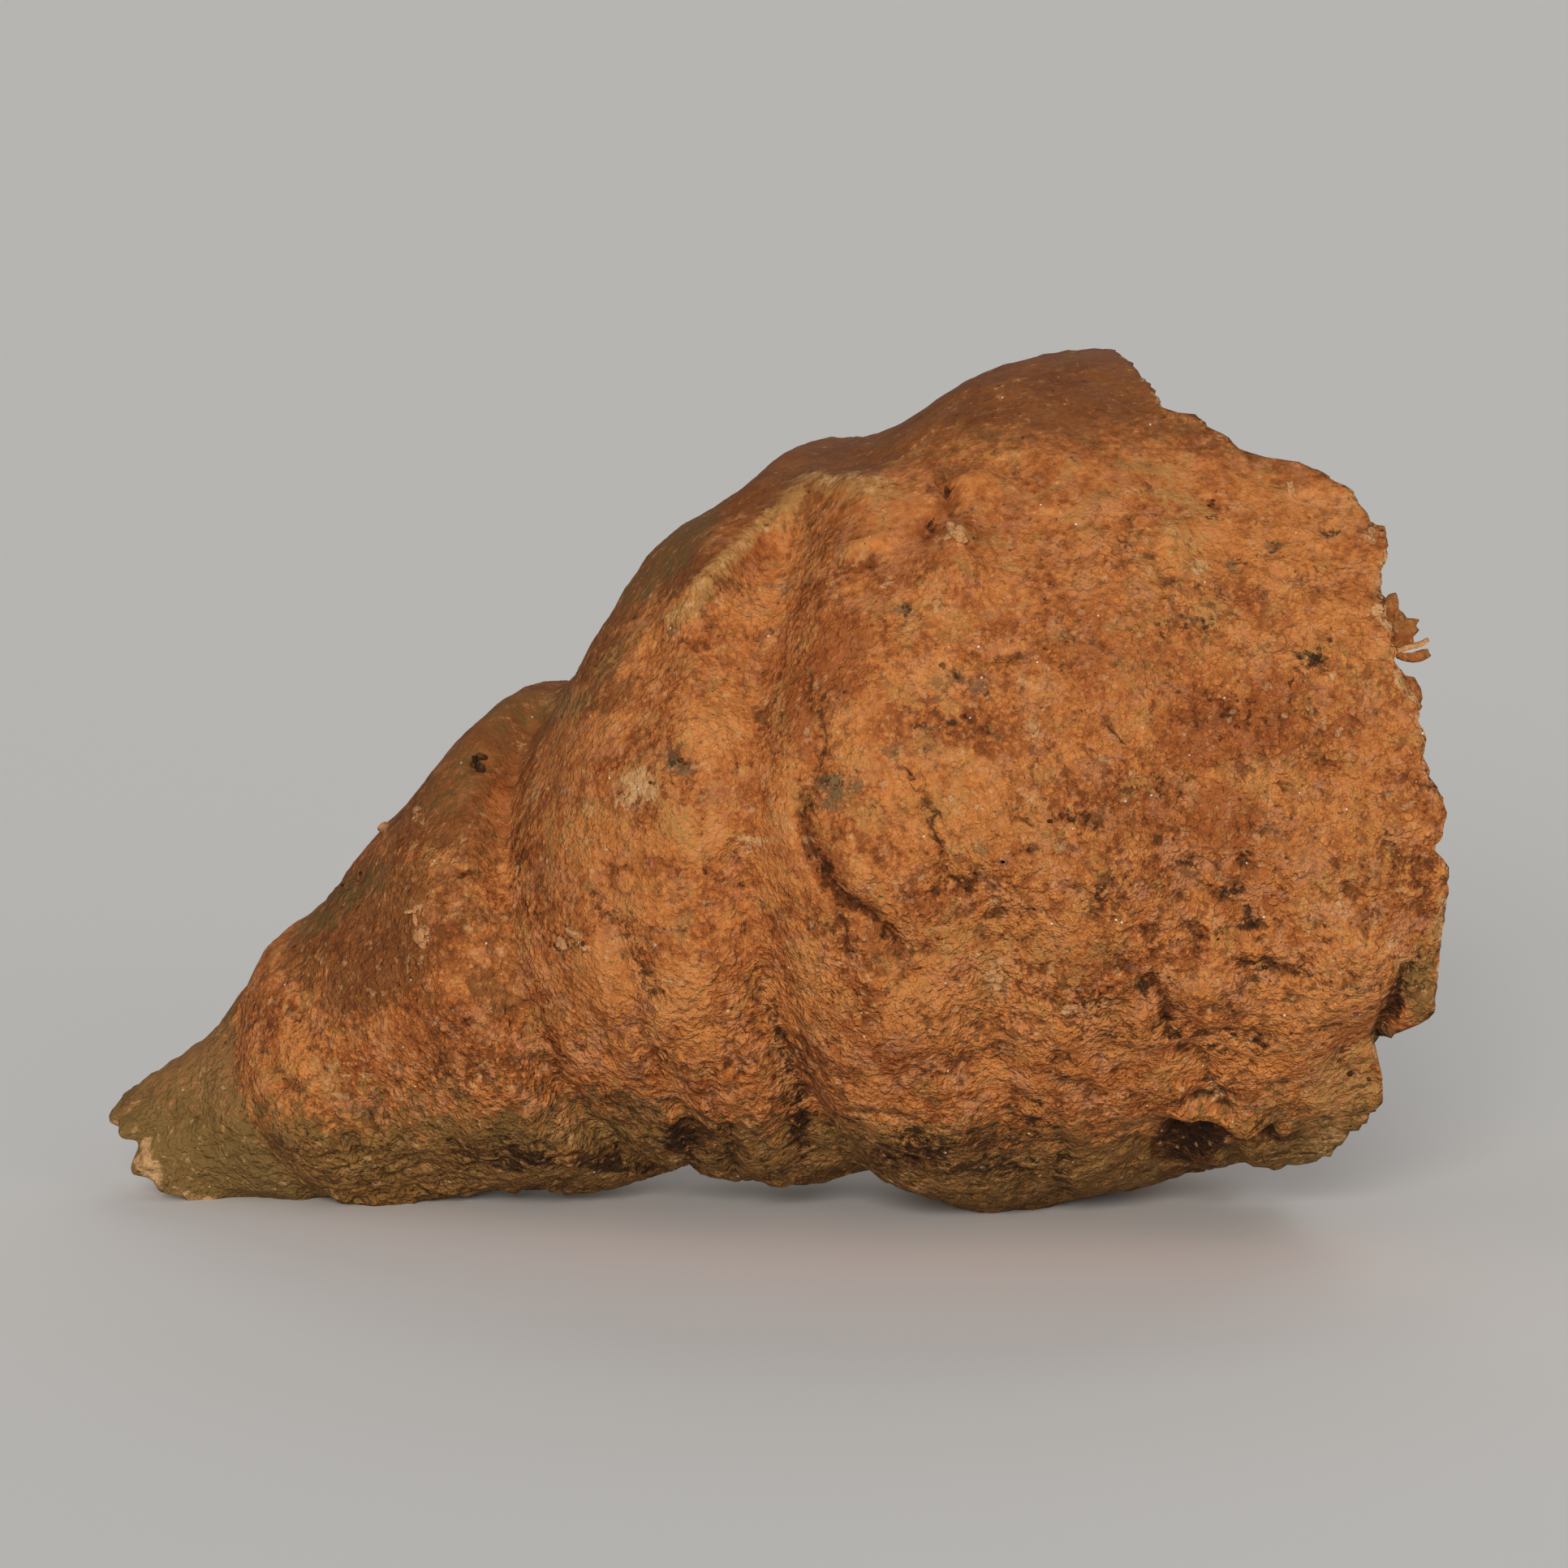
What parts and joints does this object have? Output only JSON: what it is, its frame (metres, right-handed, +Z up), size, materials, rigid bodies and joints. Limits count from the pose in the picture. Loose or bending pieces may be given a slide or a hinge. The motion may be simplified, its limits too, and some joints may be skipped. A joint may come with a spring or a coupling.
{
  "type": "fossil horn coral",
  "caption": "Solitary curved horn coral turned to stone, lying on its side, with a broken apex, ringed ribbed outside and an open cup lined with radial ridges.",
  "frame": {"origin": "middle of the bounding box's underside, on the surface the fossil lies on", "axes": "+Z up, +X along the horn from the broken apex toward the open cup, -Y the near side of the horn"},
  "size_m": [0.0596, 0.0386, 0.0383],
  "materials": {
    "fossil_stone": "matte, rough, rust-orange with ochre, cream and brown stains, grey-brown at the apex"
  },
  "bodies": {
    "root": {"horn_coral": "fossil_stone"}
  },
  "joints": []
}
